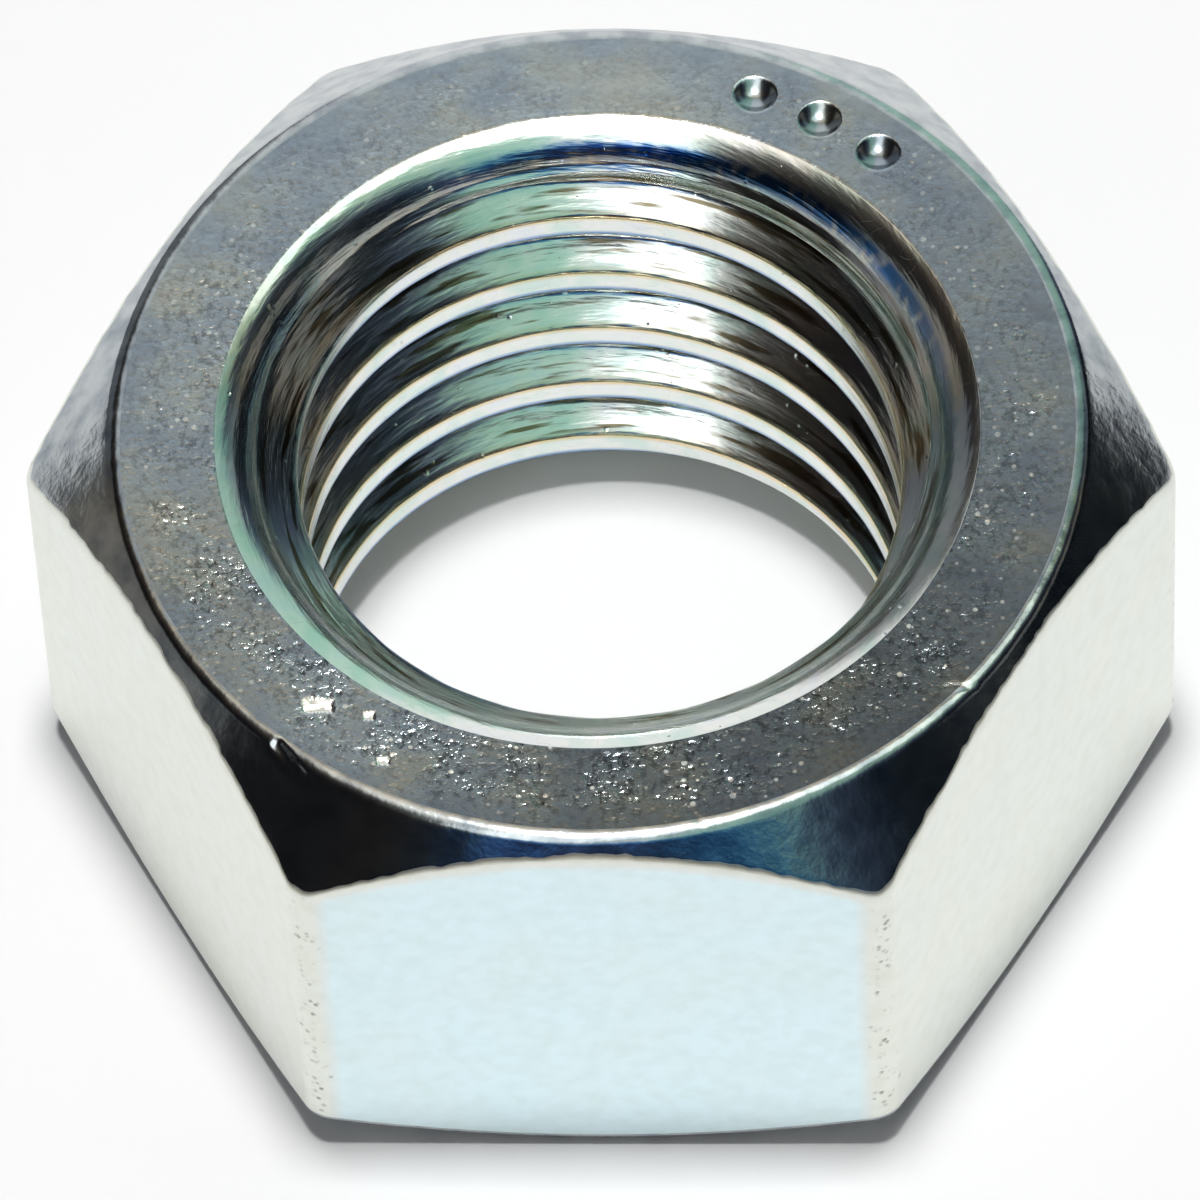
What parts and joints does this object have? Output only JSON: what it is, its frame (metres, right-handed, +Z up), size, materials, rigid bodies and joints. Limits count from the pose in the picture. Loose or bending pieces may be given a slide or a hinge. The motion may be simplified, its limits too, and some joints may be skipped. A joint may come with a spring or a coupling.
{
  "type": "hex nut",
  "caption": "Hexagon nut with chamfered corners at both ends and a metric coarse right-hand thread, for clamping a joint on a bolt or stud.",
  "frame": {"origin": "centre of the lower bearing face, on the thread axis", "axes": "+Z up the thread axis from the lower bearing face to the marked upper one; one pair of flats faces -Y and +Y, and two corners point to -X and +X"},
  "size_m": [0.0206, 0.018, 0.0098],
  "materials": {
    "zinc_plate": "bright electroplated zinc with a clear blue passivation over cold-formed steel"
  },
  "bodies": {
    "root": {"hex_nut": "zinc_plate"}
  },
  "joints": []
}
